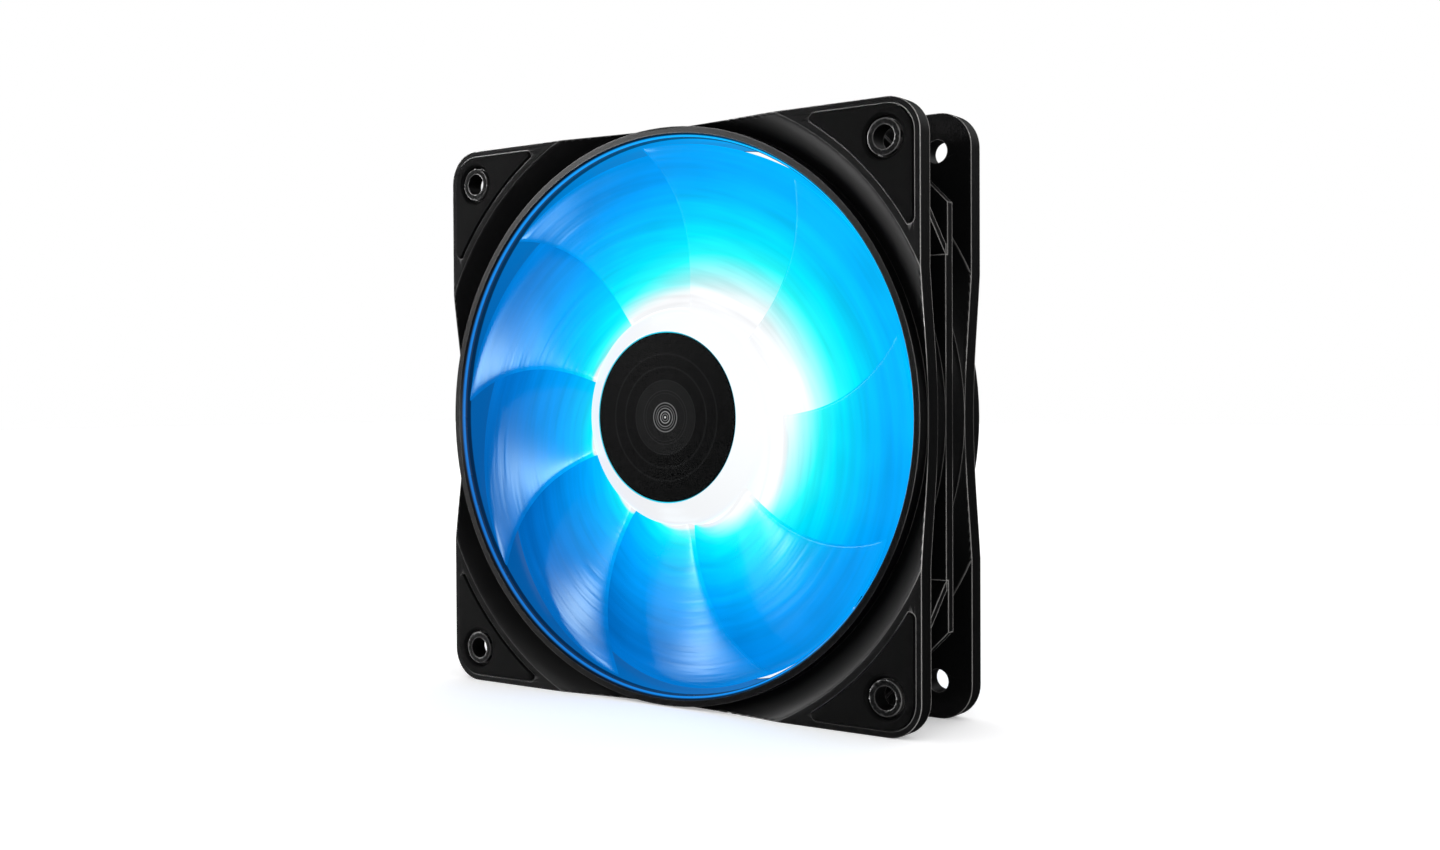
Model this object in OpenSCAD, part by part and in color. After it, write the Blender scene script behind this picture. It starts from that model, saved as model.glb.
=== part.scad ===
// A 120 mm case fan that stands on its lower edge. The intake side faces -Y and the exhaust side +Y.
// Each piece is drawn lying down, with the intake side up, and stand() turns it upright.

/* [Frame] */
// Side of the square frame
frame_size = 120; // [119:0.5:122]
// Depth of the frame between its two flange faces
frame_depth = 25; // [25:0.5:28]
// Radius of the frame's four corners
corner_radius = 7; // [4:0.5:8]
// Thickness of the front and rear flanges
flange_thickness = 3.8; // [3.2:0.1:4.2]
// Inner radius of the air duct
duct_radius = 57.6; // [57.4:0.1:58]
// Outer radius of the duct's wall
duct_wall_radius = 59.9; // [59.7:0.1:60.6]
// Outer radius of the round lip at each mouth of the duct
lip_radius = 59.8; // [59.4:0.1:60]
// Radius inside which the flange curves down towards the lip
dish_start_radius = 66.2; // [65.5:0.1:67]

/* [Side Ribs] */
// Thickness of the rib that runs round the frame half way back
rib_thickness = 1.9; // [1.4:0.1:2.6]
// Extra thickness of the rib along the middle of each side
rib_step = 0.85; // [0.4:0.05:1.2]
// Half length of the thicker middle stretch
rib_step_half_length = 31; // [28:0.5:33]
// How far in the rib's corners are cut off
rib_corner_cut = 19; // [16:0.5:22]
// Width of the slanting webs between the front flange and the rib
web_width = 2; // [1.2:0.1:3]

/* [Screw Holes] */
// Distance between neighbouring screw holes
hole_spacing = 105; // [104.5:0.25:105.5]
// Diameter of the screw holes
hole_diameter = 4.6; // [4.3:0.1:5]
// Diameter of the raised ring round each screw hole
boss_diameter = 7; // [6.4:0.1:7.4]

/* [Corner Pads] */
// How far the rubber pads stand out of the flanges
pad_height = 0.5; // [0.3:0.05:0.8]
// Depth of the pockets that the pads sit in
pad_pocket_depth = 0.9; // [0.5:0.1:1.2]
// Distance from the frame's edge to the pad
pad_inset = 1.5; // [1.3:0.1:2]
// Radius of the pad's long curved side, about the fan's axis
pad_arc_radius = 67.8; // [67.4:0.1:69]
// Gap round a pad in its pocket
pad_gap = 0.25; // [0.1:0.05:0.35]

/* [Impeller] */
// Number of blades
blade_count = 9; // [7:1:11]
// Radius to the blade tips
tip_radius = 56.6; // [55:0.1:56.8]
// Outer radius of the hub
hub_radius = 22.9; // [22.6:0.1:23.4]
// Angle that a blade spans round the axis at its root
root_span = 60; // [30:1:61]
// Angle that a blade spans round the axis at its tip
tip_span = 54; // [30:1:56]
// Greatest thickness of a blade
blade_thickness = 1.6; // [1.2:0.1:2]
// How far the tips lean forward of the roots, in degrees
blade_sweep = 16; // [0:1:24]

/* [Struts] */
// Number of struts that hold the motor base
strut_count = 4; // [3:1:6]
// Width of a strut
strut_width = 3.2; // [2.4:0.1:4]
// Depth of a strut
strut_depth = 3.9; // [3:0.1:4.2]
// Angle between a strut and the radius at its inner end
strut_skew = 24; // [0:1:30]

/* [Motor] */
// Radius of the motor base
base_radius = 23.5; // [23.3:0.1:25]
// Radius of the shaft
shaft_radius = 1.5; // [1.4:0.05:1.6]
// Running clearance between the shaft and its sleeve
shaft_clearance = 0.04; // [0.03:0.01:0.08]
// Outer radius of the stator core
stator_radius = 15.7; // [15.2:0.1:15.8]
// Number of lights on the driver board
led_count = 4; // [3:1:8]

/* [Hidden] */
$fn = 96;
half = frame_size / 2;
front_face = frame_depth / 2;
rear_face = -front_face;
front_back = front_face - flange_thickness;
hole_half = hole_spacing / 2;
hole_radius = hole_diameter / 2;
boss_radius = boss_diameter / 2;
boss_height = 0.3;
rib_front = 1.5;
rib_rear = rib_front - rib_thickness;
strut_recess = 0.4;
strut_rear = rear_face + strut_recess;
strut_turn_share = 0.62;
strut_root_overlap = 1.8;
strut_spare_length = 6.4;
wall_overlap = 1.5;
web_setback = 0.4;
web_overlap = 0.3;
web_depth = 9;
fit_gap = 0.2;
lead_channel_width = 3.2;
lead_channel_depth = 3.2;
lead_outlet_side = 5.2;
lead_outlet_centre = 44.9;
pad_hole_radius = boss_radius + 0.45;
pad_corner_radius = corner_radius - pad_inset;
pad_tip_radius = 1.1;
pad_tip_reach = 36.2;
pad_chamfer = 0.6;
pad_chamfer_depth = 0.5;
quadrants = [[1, 1], [-1, 1], [-1, -1], [1, -1]];
eps = 0.02;

// The flange surface curves down to the lip along an arc of a large circle.
dish_arc_radius = 18.6;
dish_start_slope = 15;
dish_centre_r = dish_start_radius + dish_arc_radius * sin(dish_start_slope);
dish_centre_z = front_face - dish_arc_radius * cos(dish_start_slope);
dish_end_slope = asin((dish_centre_r - lip_radius) / dish_arc_radius);
dish_wall_slope = asin((dish_centre_r - duct_wall_radius) / dish_arc_radius);
dish_steps = 10;
mouth_flare = 0.9;
mouth_depth = 1.6;

// Heights of the moving parts, from the middle of the fan's depth.
hub_rear = -6.5;
hub_wall = 1.4;
hub_shoulder = front_face - 4.1;
cap_face = front_face - 1;
cap_radius = 17.6;
cap_thickness = 0.9;
cap_seat_gap = 0.15;
cap_seat_edge = 0.5;
cap_seat_width = 1.4;
hub_plate_rear = 6.8;
hub_plate_front = 8;
bush_radius = 4;
bush_rear = 4.9;
bush_front = 8.5;
yoke_radius = 19.3;
yoke_wall = 1;
yoke_rear = -6;
magnet_inner_radius = 16.3;
magnet_front = 4.5;
magnet_overhang = 0.2;
shaft_rear = -10.2;
shaft_front = 8.2;
clip_rear = -9.4;
clip_thickness = 0.6;
clip_groove_radius = shaft_radius - 0.35;
clip_outer_radius = 2.6;
clip_slack = 0.05;
clip_slit = 0.6;
washer_thickness = 0.2;

// Heights of the fixed parts of the motor.
label_radius = 20.2;
label_thickness = 0.25;
label_recess = 0.3;
base_floor = rear_face + 2.3;
base_rim = rear_face + 4.9;
ledge_height = base_floor + 1.6;
board_radius = 22;
board_thickness = 1;
board_front = ledge_height + board_thickness;
boss_top = rear_face + 5.5;
base_boss_radius = 6;
housing_radius = 4.5;
housing_bore = 3.2;
housing_front = 4.5;
sleeve_rear = -8.5;
sleeve_front = 4;
thrust_pad_thickness = 0.7;
thrust_gap = 0.1;
core_rear = -4.5;
core_front = 2.5;
insulator_thickness = 1.2;
pole_count = 4;
neck_half_width = 2.2;
pole_tip_thickness = 1.8;
core_hub_radius = 6.4;
coil_inner_radius = 6.7;
coil_outer_radius = 11.8;
coil_build = 1.5;
coil_end_share = 0.7;
coil_spacing = 0.4;
pole_half_spread = 0.83; // tangent of half the angle that a pole face covers
insulator_inset = 0.3;
seal_gap = 0.25;
board_ledge = 1.4;
board_notch = 3;
chip_size = [4, 5, 1.2];
sensor_size = [1.6, 3, 0.9];
capacitor_size = [1.2, 2, 1];
resistor_size = [1.6, 0.9, 0.5];
chip_radius = 13;
resistor_radius = 14;
sensor_radius = 17.3;
led_radius = 20.5;
led_size = [1.2, 3, 1.7];

// Blade profile. The front edge leads, so each blade runs clockwise as it goes back.
root_radius = hub_radius - 0.7;
blade_front_root = 7.6;
blade_front_tip = 10.9;
blade_rear_root = -5.2;
blade_rear_tip = 0.4;
blade_camber = 0.35;
blade_edge_share = 0.45;
span_steps = 7;
chord_steps = 6;

// ---- helpers ----

// Turns a piece that was drawn lying down upright.
module stand()
    rotate([90, 0, 0])
        children();

// A flat ring or tube between two heights.
module tube(outer, inner, low, high)
    difference() {
        translate([0, 0, low])
            cylinder(r = outer, h = high - low);
        translate([0, 0, low - 1])
            cylinder(r = inner, h = high - low + 2);
    }

module disc(radius, low, high)
    translate([0, 0, low])
        cylinder(r = radius, h = high - low);

module slab(half_width, half_length, low, high)
    translate([-half_width, -half_length, low])
        cube([2 * half_width, 2 * half_length, high - low]);

// A square with round corners, as a flat shape.
module round_square(half_side, radius) {
    inner = half_side - radius;
    square([2 * inner, 2 * half_side], center = true);
    square([2 * half_side, 2 * inner], center = true);
    for (q = quadrants)
        translate([q[0] * inner, q[1] * inner])
            circle(r = radius);
}

// Repeats a shape at the four corners, drawn for the corner at +x +y.
module at_corners()
    for (q = quadrants)
        scale_to(q)
            children();

// Mirrors a shape from the corner at +x +y to the corner that q names.
module scale_to(q)
    mirror([q[0] < 0 ? 1 : 0, 0, 0])
        mirror([0, q[1] < 0 ? 1 : 0, 0])
            children();

// ---- frame ----

// Points on the dished surface between two slope angles, lowered by drop.
function dish_arc(from, to, drop) = [
    for (i = [0:dish_steps])
        let (a = from + (to - from) * i / dish_steps)
        [dish_centre_r - dish_arc_radius * sin(a), dish_centre_z + dish_arc_radius * cos(a) - drop]
];

// Cross-section of the front half: duct, mouth, lip, dish and flange, out from the axis.
function half_profile() = concat(
    [
        [duct_radius, 0],
        [duct_radius, front_face - mouth_depth],
        [duct_radius + mouth_flare, front_face],
        [lip_radius, front_face]
    ],
    dish_arc(dish_end_slope, dish_start_slope, 0),
    [[frame_size, front_face], [frame_size, front_back]],
    dish_arc(dish_start_slope, dish_wall_slope, flange_thickness),
    [[duct_wall_radius, 0]]
);

// Duct and both flanges as one round body, which the frame's square outline is cut from.
module round_body() {
    upper = half_profile();
    last = len(upper) - 1;
    lower = [for (i = [last - 1:-1:1]) [upper[i][0], -upper[i][1]]];
    rotate_extrude($fn = 180)
        polygon(concat(upper, lower));
}

// Middle rib, with its corners cut off.
module rib_plate(low, high, cut) {
    translate([0, 0, low])
        linear_extrude(high - low)
            intersection() {
                square(frame_size, center = true);
                rotate(45)
                    square(sqrt(2) * (frame_size - cut), center = true);
            }
}

module side_ribs()
    difference() {
        union() {
            rib_plate(rib_rear, rib_front, rib_corner_cut);
            for (a = [0, 90])
                rotate(a)
                    slab(half, rib_step_half_length, rib_rear, rib_front + rib_step);
        }
        translate([0, 0, rib_rear - 1])
            cylinder(r = duct_radius + 1, h = rib_thickness + rib_step + 2);
    }

// A slanting web between the front flange and the rib, beside the middle of the +x side.
module slanted_web() {
    web_rise = front_back - rib_front + 2 * web_overlap;
    translate([half - web_setback, rib_step_half_length - web_overlap, rib_front - web_overlap])
        rotate([0, -90, 0])
            linear_extrude(web_depth)
                polygon([[0, 0], [0, web_width], [web_rise, web_rise + web_width], [web_rise, web_rise]]);
}

module slanted_webs()
    for (a = [0:90:270])
        rotate(a)
            for (side = [0, 1])
                mirror([0, side, 0])
                    slanted_web();

// Floor, rim, board ledge and central boss of the motor base.
module motor_base()
    rotate_extrude()
        polygon([
            [housing_radius, rear_face + label_recess],
            [label_radius + fit_gap, rear_face + label_recess],
            [label_radius + fit_gap, rear_face],
            [base_radius, rear_face],
            [base_radius, base_rim],
            [board_radius + fit_gap, base_rim],
            [board_radius + fit_gap, ledge_height],
            [board_radius - board_ledge, ledge_height],
            [board_radius - board_ledge, base_floor],
            [base_boss_radius, base_floor],
            [base_boss_radius, boss_top],
            [housing_radius, boss_top]
        ]);

// Places a shape along a strut: from the motor base at the origin out to the duct's wall.
module along_strut(i)
    rotate(315 + i * 360 / strut_count - strut_skew * strut_turn_share)
        translate([base_radius - strut_root_overlap, 0, strut_rear])
            rotate(strut_skew)
                children();

module strut(i, width)
    along_strut(i)
        translate([0, -width / 2, 0])
            cube([duct_radius - base_radius + strut_spare_length, width, strut_depth]);

// The first strut is wide and holds the channel in which the leads run out to the edge.
module struts()
    intersection() {
        tube(duct_radius + wall_overlap, board_radius + 2 * fit_gap, strut_rear, strut_rear + strut_depth);
        for (i = [0:strut_count - 1])
            strut(i, i == 0 ? lead_channel_width + strut_width : strut_width);
    }

// Channel for the leads, out along the first strut to a square outlet in the rear flange.
module lead_channel() {
    along_strut(0)
        translate([-2, -lead_channel_width / 2, -1])
            cube([duct_radius - base_radius + 10, lead_channel_width, lead_channel_depth + 1]);
    translate([lead_outlet_centre, -lead_outlet_centre, rear_face + flange_thickness / 2])
        cube([lead_outlet_side, lead_outlet_side, flange_thickness + 2], center = true);
}

// Screw holes, right through each flange.
module screw_holes()
    at_corners()
        translate([hole_half, hole_half, rear_face - 1])
            cylinder(r = hole_radius, h = frame_depth + 2);

// Outline of a corner pad, grown by g.
module pad_outline(g) {
    edge = half - pad_inset + g;
    corner = pad_corner_radius + g;
    tip = pad_tip_radius + g;
    reach = pad_tip_reach - g;
    tip_centre = edge - tip;
    difference() {
        union() {
            translate([reach + tip, reach + tip])
                square([edge - corner - reach - tip, edge - reach - tip]);
            translate([reach + tip, reach + tip])
                square([edge - reach - tip, edge - corner - reach - tip]);
            translate([reach + tip, tip_centre - tip])
                square([edge - reach - tip - corner, 2 * tip]);
            translate([tip_centre - tip, reach + tip])
                square([2 * tip, edge - reach - tip - corner]);
            translate([edge - corner, edge - corner])
                circle(r = corner);
            translate([reach + tip, tip_centre])
                circle(r = tip);
            translate([tip_centre, reach + tip])
                circle(r = tip);
        }
        circle(r = pad_arc_radius - g, $fn = 180);
    }
}

// Pockets in the front flange for the pads.
module pad_pockets()
    at_corners()
        translate([0, 0, front_face - pad_pocket_depth])
            linear_extrude(pad_pocket_depth + 1)
                pad_outline(pad_gap);

// Raised rings round the screw holes, standing on the floors of the pockets.
module hole_bosses()
    at_corners()
        translate([hole_half, hole_half, front_face - pad_pocket_depth - 1])
            cylinder(r = boss_radius, h = pad_pocket_depth + 1 + boss_height);

module both_faces() {
    children();
    mirror([0, 0, 1])
        children();
}

// The moulding's walls, before the holes are made.
module frame_walls() {
    intersection() {
        translate([0, 0, -frame_depth])
            linear_extrude(2 * frame_depth)
                round_square(half, corner_radius);
        union() {
            round_body();
            slanted_webs();
            side_ribs();
        }
    }
    struts();
    motor_base();
}

module frame()
    color("#17181a")
        stand()
            difference() {
                union() {
                    difference() {
                        frame_walls();
                        both_faces()
                            pad_pockets();
                    }
                    both_faces()
                        hole_bosses();
                }
                screw_holes();
                lead_channel();
            }

// A rubber pad for the corner q of the intake face.
module pad(q)
    scale_to(q)
        difference() {
            translate([0, 0, front_face - pad_pocket_depth])
                linear_extrude(pad_pocket_depth + pad_height)
                    pad_outline(0);
            translate([hole_half, hole_half, 0])
                cylinder(r = pad_hole_radius, h = frame_depth);
            translate([hole_half, hole_half, front_face + pad_height - pad_chamfer_depth])
                cylinder(
                    r1 = pad_hole_radius,
                    r2 = pad_hole_radius + pad_chamfer,
                    h = pad_chamfer_depth + eps
                );
        }

module front_pad(q)
    color("#202123")
        stand()
            pad(q);

module rear_pad(q)
    color("#202123")
        stand()
            mirror([0, 0, 1])
                pad(q);

// ---- bearing ----

module bearing_housing()
    color("#c9a24a")
        stand()
            tube(housing_radius, housing_bore, rear_face + label_recess, housing_front);

module bearing_sleeve()
    color("#a5713c")
        stand()
            tube(housing_bore, shaft_radius + shaft_clearance, sleeve_rear, sleeve_front);

module thrust_pad()
    color("#e6dcc0")
        stand()
            disc(housing_bore, shaft_rear - thrust_gap - thrust_pad_thickness, shaft_rear - thrust_gap);

module bearing_plug()
    color("#2a2a2c")
        stand()
            disc(housing_bore, rear_face + label_recess, shaft_rear - thrust_gap - thrust_pad_thickness);

module oil_seal()
    color("#7a3b2e")
        stand()
            tube(housing_bore, shaft_radius + seal_gap, sleeve_front, housing_front);

// ---- stator ----

// Star-shaped outline of the stator core: a hub, four necks and four curved pole faces.
module pole_outline(face_radius, neck) {
    face_inner = face_radius - pole_tip_thickness;
    circle(r = core_hub_radius);
    for (i = [0:pole_count - 1])
        rotate(i * 360 / pole_count)
            translate([0, -neck])
                square([face_inner + 0.5, 2 * neck]);
    intersection() {
        difference() {
            circle(r = face_radius);
            circle(r = face_inner);
        }
        for (i = [0:pole_count - 1])
            rotate(i * 360 / pole_count)
                polygon(frame_size * [[0, 0], [1, -pole_half_spread], [1, pole_half_spread]]);
    }
}

module pole_plate(face_radius, neck, low, high)
    difference() {
        translate([0, 0, low])
            linear_extrude(high - low)
                pole_outline(face_radius, neck);
        disc(housing_radius, low - 1, high + 1);
    }

module stator_core()
    color("#8c9096")
        stand()
            pole_plate(stator_radius, neck_half_width, core_rear, core_front);

module insulator_plate(low, high)
    pole_plate(stator_radius - insulator_inset, neck_half_width + fit_gap, low, high);

module front_insulator()
    color("#e8e4d8")
        stand()
            insulator_plate(core_front, core_front + insulator_thickness);

module rear_insulator()
    color("#e8e4d8")
        stand() {
            insulator_plate(core_rear - insulator_thickness, core_rear);
            tube(core_hub_radius - 2 * fit_gap, housing_radius, boss_top, core_rear - insulator_thickness);
        }

// One winding, round the neck of the pole on +x.
module winding() {
    neck = neck_half_width + fit_gap;
    end_build = coil_build * coil_end_share;
    low = core_rear - insulator_thickness;
    high = core_front + insulator_thickness;
    length = coil_outer_radius - coil_inner_radius;
    difference() {
        translate([coil_inner_radius, -neck - coil_build, low - end_build])
            cube([length, 2 * (neck + coil_build), high - low + 2 * end_build]);
        translate([coil_inner_radius - 1, -neck, low])
            cube([length + 2, 2 * neck, high - low]);
        for (i = [0:pole_count - 1])
            rotate(45 + i * 360 / pole_count)
                translate([0, -coil_spacing / 2, low - coil_build])
                    cube([frame_size, coil_spacing, frame_depth]);
    }
}

module stator_coils()
    color("#b8622b")
        stand()
            for (i = [0:pole_count - 1])
                rotate(i * 360 / pole_count)
                    winding();

// ---- driver board ----

module driver_board()
    color("#1d5b3a")
        stand()
            difference() {
                tube(board_radius, base_boss_radius + fit_gap, ledge_height, board_front);
                translate([board_radius - board_notch / 2, -board_notch / 2, ledge_height - 1])
                    cube([board_notch, board_notch, board_thickness + 2]);
            }

// A small block on the board's rear face, at a radius and an angle.
module rear_part(radius, angle, size)
    rotate(angle)
        translate([radius - size[0] / 2, -size[1] / 2, ledge_height - size[2]])
            cube(size);

module front_part(radius, angle, size)
    rotate(angle)
        translate([radius - size[0] / 2, -size[1] / 2, board_front])
            cube(size);

module driver_chip()
    color("#1b1b1d")
        stand()
            rear_part(chip_radius, 120, chip_size);

module hall_sensor()
    color("#1b1b1d")
        stand()
            front_part(sensor_radius, 45, sensor_size);

module board_capacitors()
    color("#b79a6a")
        stand()
            for (angle = [60, 180, 200])
                rear_part(chip_radius, angle, capacitor_size);

module board_resistors()
    color("#26282b")
        stand()
            for (angle = [80, 160, 225, 240, 255])
                rear_part(resistor_radius, angle, resistor_size);

module led_lights()
    color("#f4f6ff")
        stand()
            for (i = [0:led_count - 1])
                front_part(led_radius, 20 + i * 360 / led_count, led_size);

module rear_label()
    color("#cfd2d6")
        stand()
            disc(label_radius, rear_face + label_recess - label_thickness, rear_face + label_recess);

// ---- rotor ----

function mix(a, b, t) = a + (b - a) * t;

// Share of the way back that the blade has gone at chord position s.
function camber(s) = s - blade_camber * s * (1 - s);

// Half the blade's thickness at chord position s.
function half_thickness(s) =
    blade_thickness / 2 * (blade_edge_share + (1 - blade_edge_share) * sqrt(4 * s * (1 - s)));

// A point on the blade: u runs from root to tip, s from front edge to rear edge, side is 1 or -1.
function blade_point(u, s, side) =
    let (
        radius = mix(root_radius, tip_radius, u),
        span = mix(root_span, tip_span, u),
        depth = mix(blade_front_root, blade_front_tip, u) - mix(blade_rear_root, blade_rear_tip, u),
        arc = radius * span * PI / 180,
        slope = depth * (1 - blade_camber * (1 - 2 * s)),
        run = sqrt(arc * arc + slope * slope),
        lift = side * half_thickness(s),
        angle = blade_sweep * u * u - span * s - lift * slope / run / radius * 180 / PI,
        height = mix(blade_front_root, blade_front_tip, u) - depth * camber(s) + lift * arc / run
    )
    [radius * cos(angle), radius * sin(angle), height];

// One section of the blade: along the front surface and back along the rear one.
function blade_ring(u) = concat(
    [for (j = [0:chord_steps]) blade_point(u, j / chord_steps, 1)],
    [for (j = [chord_steps:-1:0]) blade_point(u, j / chord_steps, -1)]
);

module blade() {
    ring = 2 * (chord_steps + 1);
    points = [for (i = [0:span_steps]) each blade_ring(i / span_steps)];
    strips = [
        for (i = [0:span_steps - 1], j = [0:ring - 1])
            let (
                a = i * ring + j,
                b = i * ring + (j + 1) % ring,
                c = b + ring,
                d = a + ring
            )
            each [[a, c, b], [a, d, c]]
    ];
    ends = [
        for (j = [0:chord_steps - 1])
            let (
                a = j,
                b = j + 1,
                c = ring - 2 - j,
                d = ring - 1 - j,
                k = span_steps * ring
            )
            each [[a, b, c], [a, c, d], [k + a, k + c, k + b], [k + a, k + d, k + c]]
    ];
    polyhedron(points, concat(strips, ends));
}

// Hub with the plate that holds the yoke, and the sloping shoulder round the cap's seat.
module hub()
    rotate_extrude()
        polygon([
            [bush_radius, hub_plate_rear],
            [hub_radius - hub_wall, hub_plate_rear],
            [hub_radius - hub_wall, hub_rear],
            [hub_radius, hub_rear],
            [hub_radius, hub_shoulder],
            [cap_radius + cap_seat_edge, cap_face],
            [cap_radius + cap_seat_gap, cap_face],
            [cap_radius + cap_seat_gap, cap_face - cap_thickness],
            [cap_radius - cap_seat_width, cap_face - cap_thickness],
            [cap_radius - cap_seat_width, hub_plate_front],
            [bush_radius, hub_plate_front]
        ]);

module impeller()
    color("#5cc8ff")
        stand() {
            hub();
            for (i = [0:blade_count - 1])
                rotate(i * 360 / blade_count)
                    blade();
        }

module hub_cap()
    color("#101012")
        stand()
            disc(cap_radius, cap_face - cap_thickness, cap_face);

module rotor_yoke()
    color("#9a9ea4")
        stand() {
            tube(yoke_radius, yoke_radius - yoke_wall, yoke_rear, hub_plate_rear);
            tube(yoke_radius - yoke_wall, bush_radius, hub_plate_rear - yoke_wall, hub_plate_rear);
        }

module ring_magnet()
    color("#3a3836")
        stand()
            tube(yoke_radius - yoke_wall, magnet_inner_radius, yoke_rear - magnet_overhang, magnet_front);

module shaft()
    color("#d9dce0")
        stand()
            difference() {
                disc(shaft_radius, shaft_rear, shaft_front);
                tube(shaft_radius + 1, clip_groove_radius, clip_rear, clip_rear + clip_thickness);
            }

module shaft_bush()
    color("#cfa84f")
        stand()
            tube(bush_radius, shaft_radius, bush_rear, bush_front);

// A split ring that snaps into the groove near the rear end of the shaft.
module retaining_clip()
    color("#efe9d6")
        stand()
            difference() {
                tube(
                    clip_outer_radius,
                    clip_groove_radius,
                    clip_rear + clip_slack,
                    clip_rear + clip_thickness - clip_slack
                );
                translate([0, -clip_slit / 2, clip_rear - 1])
                    cube([2 * clip_outer_radius, clip_slit, clip_thickness + 2]);
            }

module thrust_washer()
    color("#dfe3e8")
        stand()
            tube(clip_outer_radius, shaft_radius, bush_rear - washer_thickness, bush_rear);

frame();
front_pad(quadrants[0]);  // front_pad_top_right
front_pad(quadrants[1]);  // front_pad_top_left
front_pad(quadrants[2]);  // front_pad_bottom_left
front_pad(quadrants[3]);  // front_pad_bottom_right
rear_pad(quadrants[0]);  // rear_pad_top_right
rear_pad(quadrants[1]);  // rear_pad_top_left
rear_pad(quadrants[2]);  // rear_pad_bottom_left
rear_pad(quadrants[3]);  // rear_pad_bottom_right
bearing_housing();
bearing_sleeve();
bearing_plug();
thrust_pad();
oil_seal();
stator_core();
front_insulator();
rear_insulator();
stator_coils();
driver_board();
driver_chip();
hall_sensor();
board_capacitors();
board_resistors();
led_lights();
rear_label();
impeller();
hub_cap();
rotor_yoke();
ring_magnet();
shaft();
shaft_bush();
retaining_clip();
thrust_washer();
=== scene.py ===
import math

import bmesh
import bpy
from mathutils import Matrix, Vector


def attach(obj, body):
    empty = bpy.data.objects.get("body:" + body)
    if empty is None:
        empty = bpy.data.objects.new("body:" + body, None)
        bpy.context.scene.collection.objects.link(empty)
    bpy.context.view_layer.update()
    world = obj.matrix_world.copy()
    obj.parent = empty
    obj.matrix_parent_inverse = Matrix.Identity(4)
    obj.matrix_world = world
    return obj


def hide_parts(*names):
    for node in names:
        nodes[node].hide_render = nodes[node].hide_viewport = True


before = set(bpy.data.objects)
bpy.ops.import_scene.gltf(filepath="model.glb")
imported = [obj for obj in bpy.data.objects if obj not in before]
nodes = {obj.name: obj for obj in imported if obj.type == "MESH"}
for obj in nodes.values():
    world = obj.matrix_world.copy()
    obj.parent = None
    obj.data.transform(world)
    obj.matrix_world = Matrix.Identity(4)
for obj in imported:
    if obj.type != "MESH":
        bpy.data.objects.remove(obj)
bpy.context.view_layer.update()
mm = 0.001
print("fan loaded,", len(nodes), "CAD pieces")


studio = {
    "cameraPlace": (0.1907, -0.2617, 0.0039),
    "cameraYaw": 35.24,
    "cameraPitch": -1.01,
    "cameraRoll": -0.29,
    "lens": 37.86,
    "clipStart": 0.01,
    "floorHeight": -0.060,
    "floorSize": 6.0,
    "floorColour": (0.93, 0.93, 0.94),
    "floorSecondColour": (0.90, 0.90, 0.91),
    "floorRough": 0.7,
    "floorCloudsPerMm": 0.01,
    "floorLift": 0.34,  # a little light of its own, so that it stays white to the horizon
    "roomBright": 1.0,  # what the camera and matt surfaces see of the room
    "roomInGloss": 0.045,  # what shiny surfaces see of it, between the soft boxes
    "lamps": {
        # name: place, aim, width, height, radiance, colour
        "frontSoft": ((-0.55, -0.80, 0.62), (0, 0, 0), 0.50, 0.45, 0.55, (1.0, 0.98, 0.96)),
        "backSoft": ((0.20, 0.85, 0.45), (0, 0, 0), 0.60, 0.50, 0.9, (1.0, 1.0, 1.0)),
    },
    "boxBlur": 0.25,  # share of the half angle over which a soft box fades
    "softBoxes": [
        # direction from the fan, half angle in degrees, brightness in shiny surfaces
        ((-0.93, -0.30, -0.19), 11, 0.8),  # left, for the curve of the dish
        ((0.99, -0.07, 0.02), 9, 7.0),  # right, for the mouth of the duct
        ((0.88, -0.45, 0.12), 13, 4.5),  # right and forward, for the upright edges
        ((-0.57, 0.02, 0.82), 15, 2.0),  # top, for the edges that look up
        ((-0.50, -0.10, -0.86), 13, 2.5),  # bottom, for the edges that look down
        ((-0.64, -0.74, 0.20), 4, 30.0),  # this one and those below, for pale patches on the blades
        ((-0.74, -0.65, 0.19), 3, 22.0),
        ((-0.83, -0.55, -0.02), 3.5, 22.0),
        ((-0.51, -0.82, 0.27), 3, 16.0),
        ((-0.80, -0.56, -0.20), 3.5, 22.0),
    ],
}


def placeCamera():
    camera = bpy.data.objects.new("camera", bpy.data.cameras.new("camera"))
    bpy.context.scene.collection.objects.link(camera)
    turn = (Matrix.Rotation(math.radians(studio["cameraYaw"]), 4, "Z")
            @ Matrix.Rotation(math.radians(90 + studio["cameraPitch"]), 4, "X")
            @ Matrix.Rotation(math.radians(studio["cameraRoll"]), 4, "Z"))
    camera.matrix_world = Matrix.Translation(studio["cameraPlace"]) @ turn
    camera.data.lens = studio["lens"]
    camera.data.clip_start = studio["clipStart"]
    bpy.context.scene.camera = camera


def hangLamps():
    for name, (place, aim, width, height, radiance, colour) in studio["lamps"].items():
        lamp = bpy.data.lights.new(name, "AREA")
        lamp.shape = "RECTANGLE"
        lamp.size, lamp.size_y = width, height
        lamp.energy = radiance * math.pi * width * height
        lamp.color = colour
        holder = bpy.data.objects.new(name, lamp)
        holder.location = place
        holder.rotation_euler = (Vector(place) - Vector(aim)).to_track_quat("Z", "Y").to_euler()
        bpy.context.scene.collection.objects.link(holder)


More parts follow.
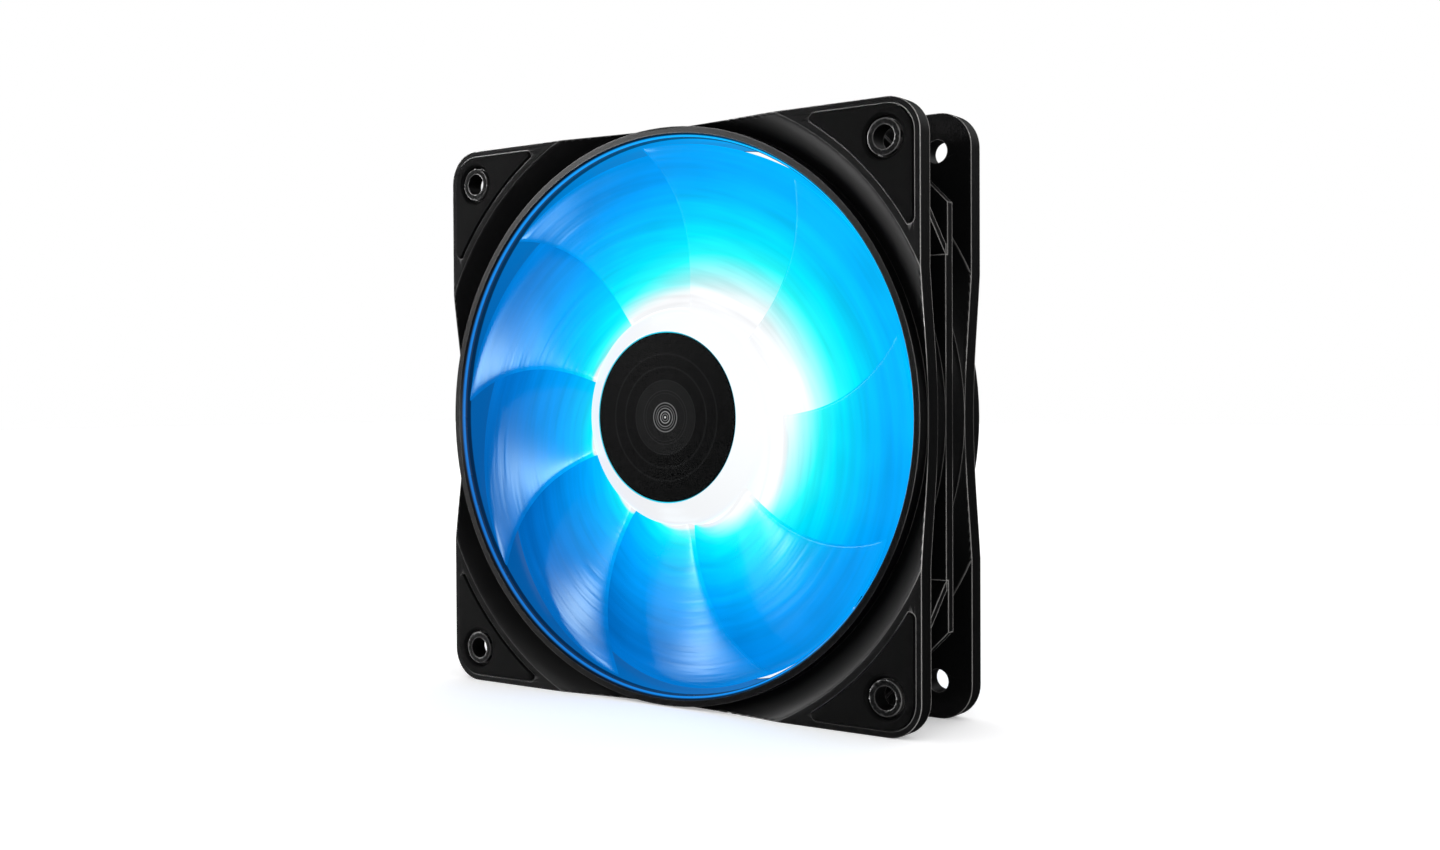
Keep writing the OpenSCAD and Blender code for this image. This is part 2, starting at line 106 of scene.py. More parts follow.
def fillRoom():
    world = bpy.data.worlds.new("room")
    world.use_nodes = True
    bpy.context.scene.world = world
    tree = world.node_tree
    back = tree.nodes["Background"]
    back.inputs["Color"].default_value = (1, 1, 1, 1)
    looking = tree.nodes.new("ShaderNodeTexCoord").outputs["Generated"]
    shiny = studio["roomInGloss"]
    blur = studio["boxBlur"]
    for toward, half, bright in studio["softBoxes"]:
        facing = tree.nodes.new("ShaderNodeVectorMath")
        facing.operation = "DOT_PRODUCT"
        put(tree, looking, facing.inputs[0])
        facing.inputs[1].default_value = Vector(toward).normalized()
        low = math.cos(math.radians(half * (1 + blur)))
        high = math.cos(math.radians(half * (1 - blur)))
        box = remap(tree, facing.outputs["Value"], low, high, 0, bright, True)
        shiny = maths(tree, "ADD", shiny, box)
    glossy = tree.nodes.new("ShaderNodeLightPath").outputs["Is Glossy Ray"]
    plain = maths(tree, "MULTIPLY", maths(tree, "SUBTRACT", 1, glossy), studio["roomBright"])
    put(tree, maths(tree, "MULTIPLY_ADD", glossy, shiny, plain), back.inputs["Strength"])
    bpy.context.scene.view_settings.view_transform = "Standard"


# Links a socket, or sets a plain number or colour.
def put(tree, value, socket):
    if isinstance(value, bpy.types.NodeSocket):
        tree.links.new(value, socket)
    elif socket.type == "RGBA":
        socket.default_value = (*value, 1)
    else:
        socket.default_value = value


def maths(tree, operation, *values):
    node = tree.nodes.new("ShaderNodeMath")
    node.operation = operation
    for value, socket in zip(values, node.inputs):
        put(tree, value, socket)
    return node.outputs[0]


def newFinish(name):
    material = bpy.data.materials.new(name)
    material.use_nodes = True
    tree = material.node_tree
    return material, tree, tree.nodes["Principled BSDF"].inputs


# Place on the fan in millimetres: the point itself, x, depth, z and the radius from the axis.
def fanPlace(tree, fixedTo=None):
    scale = tree.nodes.new("ShaderNodeVectorMath")
    scale.operation = "SCALE"
    coordinates = tree.nodes.new("ShaderNodeTexCoord")
    coordinates.object = fixedTo
    put(tree, coordinates.outputs["Object"], scale.inputs[0])
    scale.inputs["Scale"].default_value = 1 / mm
    split = tree.nodes.new("ShaderNodeSeparateXYZ")
    put(tree, scale.outputs[0], split.inputs[0])
    x, depth, z = split.outputs
    radius = maths(tree, "SQRT", maths(tree, "MULTIPLY_ADD", x, x, maths(tree, "MULTIPLY", z, z)))
    return scale.outputs[0], x, depth, z, radius


def noise(tree, point, perMm, detail=3, rough=0.55):
    node = tree.nodes.new("ShaderNodeTexNoise")
    put(tree, point, node.inputs["Vector"])
    node.inputs["Scale"].default_value = perMm
    node.inputs["Detail"].default_value = detail
    node.inputs["Roughness"].default_value = rough
    return node.outputs["Fac"]


noiseReach = (0.3, 0.7)  # values between which a noise mostly stays


def remap(tree, value, low, high, newLow, newHigh, smooth=False):
    node = tree.nodes.new("ShaderNodeMapRange")
    node.interpolation_type = "SMOOTHSTEP" if smooth else "LINEAR"
    for socket, number in zip(node.inputs, (value, low, high, newLow, newHigh)):
        put(tree, number, socket)
    return node.outputs[0]


def mixColours(tree, share, first, second, blend="MIX"):
    node = tree.nodes.new("ShaderNodeMix")
    node.data_type = "RGBA"
    node.blend_type = blend
    # this node has its colours at inputs 6 and 7, and the mixed colour at output 2
    put(tree, share, node.inputs[0])
    put(tree, first, node.inputs[6])
    put(tree, second, node.inputs[7])
    return node.outputs[2]


# Colours along a measure: stops are (measure, colour).
def colourBand(tree, value, stops):
    low, high = stops[0][0], stops[-1][0]
    node = tree.nodes.new("ShaderNodeValToRGB")
    put(tree, remap(tree, value, low, high, 0, 1), node.inputs[0])
    band = node.color_ramp
    band.interpolation = "LINEAR"
    band.elements[0].color = (*stops[0][1], 1)
    band.elements[1].color = (*stops[-1][1], 1)
    for place, colour in stops[1:-1]:
        band.elements.new((place - low) / (high - low)).color = (*colour, 1)
    return node.outputs[0]


def roughen(tree, height, deepMm, sockets):
    node = tree.nodes.new("ShaderNodeBump")
    node.inputs["Strength"].default_value = 1
    node.inputs["Distance"].default_value = deepMm * mm
    put(tree, height, node.inputs["Height"])
    put(tree, node.outputs[0], sockets["Normal"])


edges = {
    "sharpAbove": 32,  # degrees
    "weldWithin": 0.002,  # this and the widths are in millimetres
    "steps": 2,
    # width of the rounded edges, by piece
    "widths": {"frame": 0.22, "hub_cap": 0.12},
    "padWidth": 0.16,
    "usualWidth": 0.06,
    "edgeLineFacing": (0.995, 0.95),  # cosine of the turn between a face and its rounded edge: plain, full edge mask (painted highlight and gloss)
    "edgeLineSamples": 6,
}


# 1 on the edges and 0 elsewhere: where the frame gets its painted highlight lines and a glossier finish.
def edgeShare(tree, width):
    rounded = tree.nodes.new("ShaderNodeBevel")
    rounded.samples = edges["edgeLineSamples"]
    rounded.inputs["Radius"].default_value = width * mm
    facing = tree.nodes.new("ShaderNodeVectorMath")
    facing.operation = "DOT_PRODUCT"
    put(tree, rounded.outputs[0], facing.inputs[0])
    put(tree, tree.nodes.new("ShaderNodeNewGeometry").outputs["True Normal"], facing.inputs[1])
    return remap(tree, facing.outputs["Value"], *edges["edgeLineFacing"], 0, 1)


def wearFinish(obj, material):
    obj.data.materials.clear()
    obj.data.materials.append(material)


# Smooth faces, with creases kept above the angle.
def smoothingTree():
    tree = bpy.data.node_groups.new("smoothFaces", "GeometryNodeTree")
    tree.interface.new_socket("Mesh", in_out="INPUT", socket_type="NodeSocketGeometry")
    tree.interface.new_socket("Mesh", in_out="OUTPUT", socket_type="NodeSocketGeometry")
    start = tree.nodes.new("NodeGroupInput")
    bare = tree.nodes.new("GeometryNodeRemoveAttribute")
    bare.inputs["Name"].default_value = "custom_normal"
    allSmooth = tree.nodes.new("GeometryNodeSetShadeSmooth")
    creases = tree.nodes.new("GeometryNodeSetShadeSmooth")
    creases.domain = "EDGE"
    creases.inputs["Shade Smooth"].default_value = False
    angle = tree.nodes.new("GeometryNodeInputMeshEdgeAngle")
    sharp = tree.nodes.new("FunctionNodeCompare")
    sharp.operation = "GREATER_THAN"
    sharp.inputs["B"].default_value = math.radians(edges["sharpAbove"])
    end = tree.nodes.new("NodeGroupOutput")
    tree.links.new(start.outputs[0], bare.inputs[0])
    tree.links.new(bare.outputs[0], allSmooth.inputs["Geometry"])
    tree.links.new(allSmooth.outputs[0], creases.inputs["Geometry"])
    tree.links.new(angle.outputs["Unsigned Angle"], sharp.inputs["A"])
    tree.links.new(sharp.outputs[0], creases.inputs["Selection"])
    tree.links.new(creases.outputs[0], end.inputs[0])
    return tree


def edgeWidth(name):
    if "pad_" in name:
        return edges["padWidth"]
    return edges["widths"].get(name, edges["usualWidth"])


def softenEdges(obj, width):
    weld = obj.modifiers.new("weld", "WELD")
    weld.merge_threshold = edges["weldWithin"] * mm
    bevel = obj.modifiers.new("bevel", "BEVEL")
    bevel.width = width * mm
    bevel.segments = edges["steps"]
    bevel.limit_method = "ANGLE"
    bevel.angle_limit = math.radians(edges["sharpAbove"])
    bevel.use_clamp_overlap = True
    smooth = obj.modifiers.new("smooth", "NODES")
    smooth.node_group = bpy.data.node_groups.get("smoothFaces") or smoothingTree()
    even = obj.modifiers.new("evenNormals", "WEIGHTED_NORMAL")
    even.keep_sharp = True


# Painted glow for the LED light in the blades; the lights sit still in the frame, so the glow stays where
# it is when the wheel turns.
litPlastic = {
    "brightSide": 30,  # degrees from +X towards +Z
    "lean": 0.65,  # how much brighter that side is
    # radius and level of the light
    "fall": [(22.8, 2.2), (24.0, 1.57), (28.0, 0.94), (32.0, 0.75), (36.0, 0.59), (40.0, 0.47),
             (44.0, 0.38), (48.0, 0.30), (52.0, 0.257), (58.0, 0.27)],
    # level of the light and the colour that the plastic glows with
    "glow": [(0.0, (0, 0, 0)), (0.12, (0, 0.11, 0.43)), (0.20, (0, 0.19, 0.64)), (0.26, (0, 0.25, 0.76)),
             (0.35, (0, 0.34, 0.94)), (0.42, (0, 0.41, 1)), (0.80, (0, 0.80, 1)), (1.0, (0.02, 1, 1)),
             (1.1, (0.12, 1, 1)), (1.3, (0.40, 1, 1)), (1.6, (0.88, 1, 1)), (1.8, (1, 1, 1))],
    "hubGlow": (0.78, 0.79, 0.81),
    "hubBrightGlow": (0.92, 0.94, 0.95),
    "seatGlow": (0.00, 0.55, 0.75),
    "hubLevels": (1.2, 3.6),  # levels at which the hub has its plain and its bright glow
    "hubEdge": (23.1, 23.9),  # radii between which the hub's glow turns into the blades'
    "seatEdge": (17.8, 17.9),  # radii at the rim of the seat of the cap
    "body": (0.001, 0.010, 0.026),
    "paleBody": (0.002, 0.015, 0.040),
    "hubBody": (0.08, 0.08, 0.08),
    "rough": 0.15,
    "roughVaries": 0.1,
    "arcs": 0.11,  # strength of the faint arcs round the axis
    "arcsPerMm": 0.42,
    "arcLength": 0.9,  # less makes the arcs shorter
    "arcDeep": 0.016,
    "arcRough": 0.6,
    "cloudsPerMm": 0.05,
    "cloudLevels": (0.92, 1.06),
    "gloss": 0.30,
    "glossTint": (0.40, 0.78, 1.0),
}


def glowLevel(tree, x, z, radius):
    side = math.radians(litPlastic["brightSide"])
    across = maths(tree, "MULTIPLY_ADD", x, math.cos(side), maths(tree, "MULTIPLY", z, math.sin(side)))
    towards = maths(tree, "DIVIDE", across, radius)
    lean = maths(tree, "EXPONENT", maths(tree, "MULTIPLY", towards, litPlastic["lean"]))
    fall = colourBand(tree, radius, [(place, (level, level, level)) for place, level in litPlastic["fall"]])
    return maths(tree, "MULTIPLY", fall, lean)


def glowColour(tree, x, z, radius):
    return colourBand(tree, glowLevel(tree, x, z, radius), litPlastic["glow"])


framePlastic = {
    "colour": (0.0016, 0.0016, 0.0018),
    "paleColour": (0.0030, 0.0030, 0.0032),
    "cloudsPerMm": 0.11,
    "roughVaries": 0.06,
    "dishEnd": (65.8, 66.4),  # radii between which the smooth dish turns into the grained flat
    "dishRough": 0.27,
    "flatRough": 0.46,
    "dishGloss": 0.17,
    "flatGloss": 0.10,
    "sideStart": (59.4, 59.7),  # distance from the middle where the grained sides start
    "grainDeep": 0.035,
    "grainPerMm": 3.2,
    "edgeWidth": 0.30,
    # painted highlight: the edges get a lighter colour, standing in for the light they catch
    "edgeHighlightColour": (0.060, 0.059, 0.058),
    "edgeRough": 0.22,
    "edgeGloss": 1.0,
    "rightEdgeHighlightColour": (0.34, 0.33, 0.32),  # painted highlight on the edges, brightest at the +X side
    "edgeHighlightRise": (54.0, 58.5),
    "lipOutside": (60.4, 61.0),
    "lipHighlightShare": 0.3,  # how much of the painted edge highlight the lip gets
    # painted glow for light from the blades on the wall of the duct, darker near its mouth, with a bright
    # line at the lip
    "wallRadius": 57.2,
    "wallLit": 0.75,
    "mouthStart": (9.6, 9.9),  # depth from the middle of the fan
    "mouthLit": 0.12,
    "lineStart": (57.75, 57.85),
    "lineLit": 1.25,
    "lineEnd": (58.0, 58.2),
}


def frameFinish():
    w = framePlastic
    material, tree, sockets = newFinish("mouldedBlackPlastic")
    place, x, depth, z, radius = fanPlace(tree)
    clouds = noise(tree, place, w["cloudsPerMm"], detail=4)
    side = maths(tree, "MAXIMUM", maths(tree, "ABSOLUTE", x), maths(tree, "ABSOLUTE", z))
    onFlat = remap(tree, radius, *w["dishEnd"], 0, 1, True)
    grained = maths(tree, "MAXIMUM", remap(tree, side, *w["sideStart"], 0, 1), onFlat)
    edge = maths(tree, "MULTIPLY", edgeShare(tree, w["edgeWidth"]),
                 remap(tree, radius, *w["lipOutside"], w["lipHighlightShare"], 1))
    ground = mixColours(tree, clouds, w["colour"], w["paleColour"])
    # painted highlight: lighter edges, brighter towards +X and weaker on the lip
    edgeHighlight = mixColours(tree, remap(tree, x, *w["edgeHighlightRise"], 0, 1), w["edgeHighlightColour"], w["rightEdgeHighlightColour"])
    put(tree, mixColours(tree, edge, ground, edgeHighlight), sockets["Base Color"])
    rough = remap(tree, grained, 0, 1, w["dishRough"], w["flatRough"])
    rough = maths(tree, "MULTIPLY_ADD", clouds, w["roughVaries"], rough)
    put(tree, remap(tree, edge, 0, 1, rough, w["edgeRough"]), sockets["Roughness"])
    gloss = remap(tree, grained, 0, 1, w["dishGloss"], w["flatGloss"])
    put(tree, remap(tree, edge, 0, 1, gloss, w["edgeGloss"]), sockets["Specular IOR Level"])
    grain = noise(tree, place, w["grainPerMm"], detail=2)
    roughen(tree, maths(tree, "MULTIPLY", grain, grained), w["grainDeep"], sockets)
    # painted glow on the wall of the duct
    lit = remap(tree, maths(tree, "ABSOLUTE", depth), *w["mouthStart"], w["wallLit"], w["mouthLit"])
    lit = remap(tree, radius, *w["lineStart"], lit, w["lineLit"])
    lit = maths(tree, "MULTIPLY", lit, remap(tree, radius, *w["lineEnd"], 1, 0))
    lit = maths(tree, "MULTIPLY", lit, maths(tree, "GREATER_THAN", radius, w["wallRadius"]))
    put(tree, glowColour(tree, x, z, radius), sockets["Emission Color"])
    put(tree, lit, sockets["Emission Strength"])
    return material


rubber = {
    "colour": (0.0016, 0.0016, 0.0017),
    "paleColour": (0.0030, 0.0030, 0.0031),
    "cloudsPerMm": 0.25,
    "rough": 0.50,
    "roughVaries": 0.12,
    "gloss": 0.07,
    "grainPerMm": 5.5,
    "grainDeep": 0.012,
}


def rubberFinish():
    material, tree, sockets = newFinish("softBlackRubber")
    place, *_ = fanPlace(tree)
    clouds = noise(tree, place, rubber["cloudsPerMm"], detail=5)
    grain = noise(tree, place, rubber["grainPerMm"], detail=2)
    rough = maths(tree, "MULTIPLY_ADD", clouds, rubber["roughVaries"], rubber["rough"])
    put(tree, mixColours(tree, clouds, rubber["colour"], rubber["paleColour"]), sockets["Base Color"])
    put(tree, rough, sockets["Roughness"])
    sockets["Specular IOR Level"].default_value = rubber["gloss"]
    roughen(tree, grain, rubber["grainDeep"], sockets)
    return material


bladeWheel = {
    "blades": 9,
    "rootRadius": 22.2,
    "hubRadius": 22.9,
    "tipRadius": 56.6,
    "rootSpan": 60,
    "tipSpan": 54,
    "sweep": 16,
    "frontRoot": 7.6,
    "frontTip": 10.9,
    "rearRoot": -5.2,
    "rearTip": 0.4,
    "camber": 0.35,
    "thickness": 1.6,
    "edgeShare": 0.45,  # thickness at the edges, as a share of the middle's
    "rootFillet": 0.9,  # how much thicker the blade is where it meets the hub
    "filletReach": 0.7,
    "tipRound": 0.35,
    "tipThin": 0.3,
    "tipSteps": 3,
    "lengthSteps": 30,
    "chordSteps": 34,
    "edgeSteps": 6,
    "hubSteps": 180,
    "cornerSteps": 6,
    "creaseAbove": 40,
    # radius, height above the middle of the fan's depth, size of the rounding
    "hubProfile": [(4, 6.8, 0), (21.5, 6.8, 0.3), (21.5, -6.5, 0.2), (22.9, -6.5, 0.4),
                   (22.9, 8.4, 1.6), (18.1, 11.5, 0.35), (17.75, 11.5, 0.1), (17.75, 10.6, 0),
                   (16.2, 10.6, 0.1), (16.2, 8, 0), (4, 8, 0)],
}


def mix(a, b, share):
    return a + (b - a) * share


# A point of the first blade: u runs root to tip, s front edge to rear edge, lift off its middle surface.
def bladePoint(u, s, lift):
    w = bladeWheel
    radius = mix(w["rootRadius"], w["tipRadius"], u)
    span = mix(w["rootSpan"], w["tipSpan"], u)
    front = mix(w["frontRoot"], w["frontTip"], u)
    depth = front - mix(w["rearRoot"], w["rearTip"], u)
    arc = radius * math.radians(span)
    slope = depth * (1 - w["camber"] * (1 - 2 * s))
    run = math.hypot(arc, slope)
    angle = math.radians(w["sweep"] * u * u - span * s) - lift * slope / run / radius
    height = front - depth * (s - w["camber"] * s * (1 - s)) + lift * arc / run
    return Vector((radius * math.cos(angle), -height, radius * math.sin(angle))) * mm


# Outline of the blade's section at u as (s, lift): front side, rear edge, back side, front edge.
def bladeSection(u, thickShare):
    w = bladeWheel
    half = w["thickness"] / 2
    edge = half * w["edgeShare"]
    arc = mix(w["rootRadius"], w["tipRadius"], u) * math.radians(mix(w["rootSpan"], w["tipSpan"], u))
    side, rearEdge, frontEdge = [], [], []
    for i in range(w["chordSteps"] + 1):
        s = i / w["chordSteps"]
        s = s * s * (3 - 2 * s)  # closer together at the edges
        body = w["edgeShare"] + (1 - w["edgeShare"]) * math.sqrt(4 * s * (1 - s))
        side.append((s, half * body * thickShare))
    for k in range(1, w["edgeSteps"]):
        turn = math.pi * k / w["edgeSteps"]
        push, lift = edge * math.sin(turn) / arc, edge * math.cos(turn) * thickShare
        rearEdge.append((1 + push, lift))
        frontEdge.append((-push, -lift))
    return side + rearEdge + [(s, -lift) for s, lift in reversed(side)] + frontEdge


# Closes the end of a blade across its thickness.
def closeEnd(mesh, ring):
    side, edge = bladeWheel["chordSteps"], bladeWheel["edgeSteps"]
    for i in range(side):
        j = 2 * side + edge - i
        mesh.faces.new((ring[i], ring[i + 1], ring[j - 1], ring[j]))
    mesh.faces.new(ring[side:side + edge + 1])
    mesh.faces.new(ring[2 * side + edge:] + ring[:1])


def addBlade(mesh, turn):
    w = bladeWheel
    roundShare = w["tipRound"] / (w["tipRadius"] - w["rootRadius"])
    steps = [(i / w["lengthSteps"] * (1 - roundShare), 1) for i in range(w["lengthSteps"] + 1)]
    for k in range(1, w["tipSteps"] + 1):
        a = math.pi / 2 * k / w["tipSteps"]
        steps.append((1 - roundShare * (1 - math.sin(a)), mix(w["tipThin"], 1, math.cos(a))))
    spin = Matrix.Rotation(turn, 4, "Y")
    onEdge = mesh.verts.layers.float["onEdge"]  # keeps the thin edges matt
    rings = []
    for u, thin in steps:
        offHub = max(0, mix(w["rootRadius"], w["tipRadius"], u) - w["hubRadius"])
        thick = thin * (1 + w["rootFillet"] * math.exp(-offHub / w["filletReach"]))
        section = bladeSection(u, thick)
        rings.append([mesh.verts.new(spin @ bladePoint(u, s, lift)) for s, lift in section])
        for vert, (s, lift) in zip(rings[-1], section):
            vert[onEdge] = 0.0 if 0 < s < 1 else 1.0
    count = len(rings[0])
    for inner, outer in zip(rings, rings[1:]):
        for i in range(count):
            j = (i + 1) % count
            mesh.faces.new((inner[i], inner[j], outer[j], outer[i]))
    closeEnd(mesh, rings[0])
    closeEnd(mesh, rings[-1])


# Rounds the corners of a closed outline of (radius, height, rounding).
def roundCorners(outline):
    steps = bladeWheel["cornerSteps"]
    done = []
    for i, (r, h, size) in enumerate(outline):
        corner = Vector((r, h))
        if size == 0:
            done.append(corner)
            continue
        before = Vector(outline[i - 1][:2]) - corner
        after = Vector(outline[(i + 1) % len(outline)][:2]) - corner
        start = corner + before.normalized() * min(size, before.length / 2)
        stop = corner + after.normalized() * min(size, after.length / 2)
        for k in range(steps + 1):
            t = k / steps
            done.append(start * (1 - t) ** 2 + corner * 2 * t * (1 - t) + stop * t * t)
    return done


def addHub(mesh):
    w = bladeWheel
    outline = roundCorners(w["hubProfile"])
    rings = []
    for k in range(w["hubSteps"]):
        a = 2 * math.pi * k / w["hubSteps"]
        places = [Vector((p.x * math.cos(a), -p.y, p.x * math.sin(a))) * mm for p in outline]
        rings.append([mesh.verts.new(place) for place in places])
    for k, ring in enumerate(rings):
        other = rings[(k + 1) % len(rings)]
        for i in range(len(outline)):
            j = (i + 1) % len(outline)
            mesh.faces.new((ring[i], ring[j], other[j], other[i]))


def buildBladeWheel():
    mesh = bmesh.new()
    mesh.verts.layers.float.new("onEdge")
    for k in range(bladeWheel["blades"]):
        addBlade(mesh, 2 * math.pi * k / bladeWheel["blades"])
    addHub(mesh)
    bmesh.ops.recalc_face_normals(mesh, faces=mesh.faces)
    data = bpy.data.meshes.new("bladeWheel")
    mesh.to_mesh(data)
    mesh.free()
    data.shade_smooth()
    data.set_sharp_from_angle(angle=math.radians(bladeWheel["creaseAbove"]))
    wheel = bpy.data.objects.new("bladeWheel", data)
    bpy.context.scene.collection.objects.link(wheel)
    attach(wheel, "rotor")
    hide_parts("impeller")
    wheel.data.materials.append(litPlasticFinish())
    return wheel


def litPlasticFinish():
    w = litPlastic
    material, tree, sockets = newFinish("litMilkyPlastic")
    place, x, _, z, radius = fanPlace(tree, nodes["frame"])
    level = glowLevel(tree, x, z, radius)
    glow = colourBand(tree, level, w["glow"])
    hubLit = mixColours(tree, remap(tree, level, *w["hubLevels"], 0, 1), w["hubGlow"], w["hubBrightGlow"])
    arc = tree.nodes.new("ShaderNodeCombineXYZ")
    turn = maths(tree, "MULTIPLY", radius, w["arcLength"])
    put(tree, maths(tree, "MULTIPLY", radius, w["arcsPerMm"]), arc.inputs[0])
    put(tree, maths(tree, "DIVIDE", x, turn), arc.inputs[1])
    put(tree, maths(tree, "DIVIDE", z, turn), arc.inputs[2])
    arcs = noise(tree, arc.outputs[0], 1, detail=2, rough=w["arcRough"])
    arcs = remap(tree, arcs, *noiseReach, -1, 1)
    cloud = noise(tree, place, w["cloudsPerMm"], detail=2)
    uneven = maths(tree, "MULTIPLY_ADD", arcs, w["arcs"], 1)
    uneven = maths(tree, "MULTIPLY", uneven, remap(tree, cloud, *noiseReach, *w["cloudLevels"]))
    onBlade = remap(tree, radius, *w["hubEdge"], 0, 1, True)
    onHub = remap(tree, radius, *w["seatEdge"], 0, 1)
    hubGlow = mixColours(tree, onHub, w["seatGlow"], hubLit)
    put(tree, mixColours(tree, onBlade, hubGlow, glow), sockets["Emission Color"])
    put(tree, remap(tree, onBlade, 0, 1, 1, uneven), sockets["Emission Strength"])
    body = mixColours(tree, cloud, w["body"], w["paleBody"])
    put(tree, mixColours(tree, onBlade, w["hubBody"], body), sockets["Base Color"])
    put(tree, maths(tree, "MULTIPLY_ADD", cloud, w["roughVaries"], w["rough"]), sockets["Roughness"])
    onEdge = tree.nodes.new("ShaderNodeAttribute")
    onEdge.attribute_name = "onEdge"
    put(tree, remap(tree, onEdge.outputs["Fac"], 0, 1, w["gloss"], 0), sockets["Specular IOR Level"])
    put(tree, w["glossTint"], sockets["Specular Tint"])
    roughen(tree, arcs, w["arcDeep"], sockets)
    return material


hubCap = {
    "colour": (0.0005, 0.0007, 0.0008),
    "rough": 0.34,
    "gloss": 0.05,
    # radius, half width and grey of each lighter ring round the middle
    "rings": [(13.2, 0.35, 0.006), (10.5, 0.35, 0.006), (7.7, 0.25, 0.010), (5.6, 0.2, 0.016),
              (5.0, 0.15, 0.014), (3.0, 0.20, 0.16), (2.4, 0.18, 0.10), (1.9, 0.18, 0.18),
              (1.2, 0.18, 0.30), (0.7, 0.14, 0.18), (0.0, 0.36, 0.80)],
    "innerDisc": (7.6, 7.8),
    "innerGrey": 0.006,
    "groovesPerMm": 3.0,
    "grooveDeep": 0.003,
    "roughVaries": 0.04,
}


def hubCapFinish():
    material, tree, sockets = newFinish("spunBlackCap")
    *_, radius = fanPlace(tree)
    grey = remap(tree, radius, *hubCap["innerDisc"], hubCap["innerGrey"], 0)
    for ring, half, level in hubCap["rings"]:
        away = maths(tree, "ABSOLUTE", maths(tree, "SUBTRACT", radius, ring))
        line = remap(tree, away, 0, half, level, 0, True)
        grey = maths(tree, "MAXIMUM", grey, line)
    tint = tree.nodes.new("ShaderNodeCombineColor")
    for socket in tint.inputs:
        put(tree, grey, socket)
    put(tree, mixColours(tree, 1, hubCap["colour"], tint.outputs[0], "ADD"), sockets["Base Color"])
    spun = maths(tree, "SINE", maths(tree, "MULTIPLY", radius, 2 * math.pi * hubCap["groovesPerMm"]))
    rough = maths(tree, "MULTIPLY_ADD", spun, hubCap["roughVaries"], hubCap["rough"])
    put(tree, rough, sockets["Roughness"])
    sockets["Specular IOR Level"].default_value = hubCap["gloss"]
    roughen(tree, spun, hubCap["grooveDeep"], sockets)
    return material


# name of the slot: colour, second colour, metallic, roughness, grain per mm, grain depth
innerFinishes = {
    "brass": ((0.55, 0.36, 0.12), (0.42, 0.26, 0.08), 1.0, 0.30, 1.5, 0.004),
    "bronze": ((0.42, 0.24, 0.12), (0.30, 0.17, 0.09), 1.0, 0.38, 3.0, 0.006),
    "steel": ((0.50, 0.50, 0.52), (0.36, 0.36, 0.38), 1.0, 0.28, 1.2, 0.003),
    "lamination": ((0.20, 0.20, 0.22), (0.12, 0.12, 0.13), 1.0, 0.45, 2.0, 0.010),
    "copper": ((0.60, 0.24, 0.10), (0.42, 0.14, 0.05), 1.0, 0.30, 4.0, 0.030),
    "magnet": ((0.045, 0.043, 0.042), (0.025, 0.024, 0.024), 0.0, 0.60, 2.5, 0.015),
    "nylon": ((0.72, 0.71, 0.67), (0.60, 0.59, 0.55), 0.0, 0.42, 1.6, 0.006),
    "board": ((0.010, 0.070, 0.030), (0.006, 0.045, 0.020), 0.0, 0.35, 1.0, 0.008),
    "chip": ((0.012, 0.012, 0.013), (0.022, 0.022, 0.024), 0.0, 0.48, 5.0, 0.006),
    "ceramic": ((0.48, 0.36, 0.24), (0.38, 0.28, 0.18), 0.0, 0.35, 4.0, 0.004),
    "seal_rubber": ((0.012, 0.012, 0.012), (0.020, 0.020, 0.021), 0.0, 0.62, 3.0, 0.010),
}
innerRoughVaries = 0.12


def innerFinish(name):
    first, second, metallic, rough, perMm, deep = innerFinishes[name]
    material, tree, sockets = newFinish(name + "Finish")
    place, *_ = fanPlace(tree)
    grain = noise(tree, place, perMm)
    put(tree, mixColours(tree, grain, first, second), sockets["Base Color"])
    put(tree, maths(tree, "MULTIPLY_ADD", grain, innerRoughVaries, rough), sockets["Roughness"])
    sockets["Metallic"].default_value = metallic
    roughen(tree, grain, deep, sockets)
    return material


led = {
    "colour": (0.65, 0.95, 1.0),
    "heartColour": (1.0, 1.0, 1.0),
    "cloudsPerMm": 0.9,
    "bright": 1.5,
    "rough": 0.3,
}


def ledFinish():
    material, tree, sockets = newFinish("ledLens")
    place, *_ = fanPlace(tree)
    heart = remap(tree, noise(tree, place, led["cloudsPerMm"], detail=2), *noiseReach, 0, 1)
    glow = mixColours(tree, heart, led["colour"], led["heartColour"])
    put(tree, glow, sockets["Base Color"])
    put(tree, glow, sockets["Emission Color"])
    sockets["Emission Strength"].default_value = led["bright"]
    sockets["Roughness"].default_value = led["rough"]
    return material


label = {
    "colour": (0.030, 0.030, 0.032),
    "paleColour": (0.040, 0.040, 0.043),
    "ringColour": (0.20, 0.20, 0.21),
    "ringRadius": 18.4,
    "ringEdge": (0.12, 0.2),  # distance from the ring's middle
    "fibresPerMm": 2.2,
    "fibreDeep": 0.004,
    "rough": 0.45,
    "roughVaries": 0.1,
}


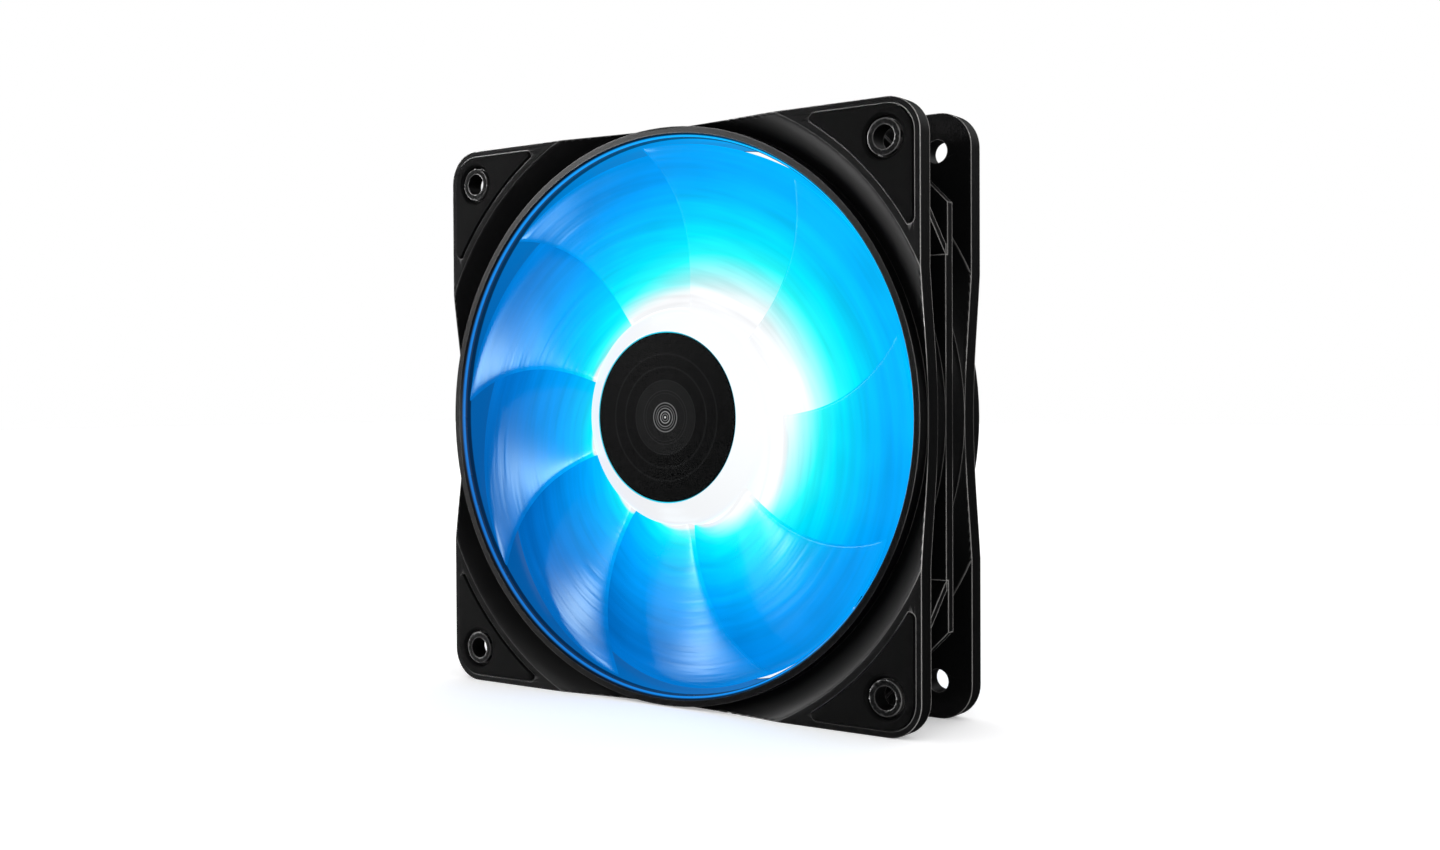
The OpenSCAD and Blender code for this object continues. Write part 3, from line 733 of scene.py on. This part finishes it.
def labelFinish():
    material, tree, sockets = newFinish("plainLabel")
    place, *_, radius = fanPlace(tree)
    away = maths(tree, "ABSOLUTE", maths(tree, "SUBTRACT", radius, label["ringRadius"]))
    fibre = noise(tree, place, label["fibresPerMm"], detail=4)
    rough = maths(tree, "MULTIPLY_ADD", fibre, label["roughVaries"], label["rough"])
    ground = mixColours(tree, fibre, label["colour"], label["paleColour"])
    ring = remap(tree, away, *label["ringEdge"], 1, 0)
    put(tree, mixColours(tree, ring, ground, label["ringColour"]), sockets["Base Color"])
    put(tree, rough, sockets["Roughness"])
    roughen(tree, fibre, label["fibreDeep"], sockets)
    return material


def layFloor():
    half = studio["floorSize"] / 2
    mesh = bmesh.new()
    corners = [mesh.verts.new((x * half, y * half, studio["floorHeight"])) for x, y in
               ((-1, -1), (1, -1), (1, 1), (-1, 1))]
    mesh.faces.new(corners)
    data = bpy.data.meshes.new("floor")
    mesh.to_mesh(data)
    mesh.free()
    floor = bpy.data.objects.new("floor", data)
    bpy.context.scene.collection.objects.link(floor)
    material, tree, sockets = newFinish("paleFloor")
    place, *_ = fanPlace(tree)
    clouds = noise(tree, place, studio["floorCloudsPerMm"], detail=2)
    colour = mixColours(tree, clouds, studio["floorColour"], studio["floorSecondColour"])
    put(tree, colour, sockets["Base Color"])
    sockets["Roughness"].default_value = studio["floorRough"]
    sockets["Emission Color"].default_value = (1, 1, 1, 1)
    sockets["Emission Strength"].default_value = studio["floorLift"]
    data.materials.append(material)
    floor.visible_glossy = False


placeCamera()
fillRoom()
hangLamps()
layFloor()
print("camera, floor and lamps in place")

slotOf = {name: obj.data.materials[0].name.split(".")[0] for name, obj in nodes.items()}
finishes = {name: innerFinish(name) for name in innerFinishes}
finishes["frame_plastic"] = frameFinish()
finishes["pad_rubber"] = rubberFinish()
finishes["cap_foil"] = hubCapFinish()
finishes["led"] = ledFinish()
finishes["label"] = labelFinish()
wheel = buildBladeWheel()
print("blade wheel built,", len(wheel.data.polygons), "faces")

for name, obj in nodes.items():
    if name != "impeller":  # bladeWheel stands in for it
        wearFinish(obj, finishes[slotOf[name]])
        softenEdges(obj, edgeWidth(name))
print("edges softened and finishes on")
